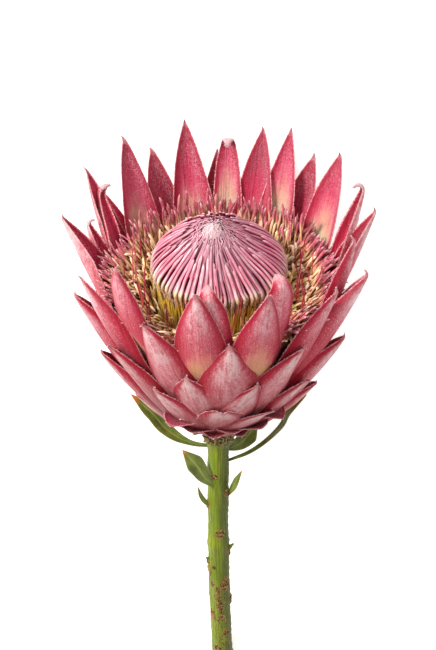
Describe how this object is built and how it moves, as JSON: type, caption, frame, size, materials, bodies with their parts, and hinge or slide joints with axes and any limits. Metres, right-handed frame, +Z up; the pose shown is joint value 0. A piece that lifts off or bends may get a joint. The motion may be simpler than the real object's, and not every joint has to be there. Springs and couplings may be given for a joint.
{
  "type": "protea flower",
  "caption": "Cut king protea lying on its side: a domed bloom of packed florets in a bowl of pointed pink bracts, on a green woody stem with small leaves.",
  "frame": {"origin": "centre of the flower's footprint on the table, at table height, as it lies on its side", "axes": "+Z up, the bloom faces -Y and down a little into the table, the cut end of the stem towards +Y, +X to the right seen from the stem's end"},
  "size_m": [0.167, 0.321, 0.1529],
  "materials": {
    "receptacle": "matte, downy pink-brown woody scales",
    "dome": "matte, silky hairs in packed rods, pink fading to silver at the crown",
    "florets": "matte, hairy straps, cream with mauve-pink tips",
    "stem": "satin green bark with brown leaf scars",
    "leaf": "leathery green with yellow-orange margins",
    "bract": "leathery, rose with a silvery down outside and a crimson margin",
    "bract_inner": "leathery, crimson inner face, downy rose outside"
  },
  "bodies": {
    "root": {"receptacle": "receptacle", "flower_dome": "dome", "floret_ring": "florets", "stem": "stem", "bract_inner_01": "bract_inner", "bract_inner_02": "bract_inner", "bract_inner_03": "bract_inner", "bract_inner_04": "bract_inner", "bract_inner_05": "bract_inner", "bract_inner_06": "bract_inner", "bract_inner_07": "bract_inner", "bract_inner_08": "bract_inner", "bract_inner_09": "bract_inner", "bract_inner_10": "bract_inner", "bract_inner_11": "bract_inner", "bract_inner_12": "bract_inner", "bract_inner_13": "bract_inner", "bract_inner_14": "bract_inner", "bract_tall_01": "bract", "bract_tall_02": "bract", "bract_tall_03": "bract", "bract_tall_04": "bract", "bract_tall_05": "bract", "bract_tall_06": "bract", "bract_tall_07": "bract", "bract_tall_08": "bract", "bract_tall_09": "bract", "bract_tall_10": "bract", "bract_tall_11": "bract", "bract_tall_12": "bract", "bract_mid_01": "bract", "bract_mid_02": "bract", "bract_mid_03": "bract", "bract_mid_04": "bract", "bract_mid_05": "bract", "bract_mid_07": "bract", "bract_mid_08": "bract", "bract_mid_09": "bract", "bract_mid_10": "bract", "bract_mid_11": "bract", "bract_mid_12": "bract", "bract_mid_13": "bract", "bract_low_01": "bract", "bract_low_02": "bract", "bract_low_03": "bract", "bract_low_04": "bract", "bract_low_05": "bract", "bract_low_06": "bract", "bract_low_07": "bract", "bract_base_01": "bract", "bract_base_02": "bract", "bract_base_03": "bract", "bract_base_04": "bract", "bract_base_05": "bract", "leaf_left_long": "leaf", "leaf_right_long": "leaf", "leaf_left_small": "leaf", "leaf_right_small": "leaf", "leaf_scale_right": "leaf", "leaf_scale_left": "leaf"}
  },
  "joints": []
}
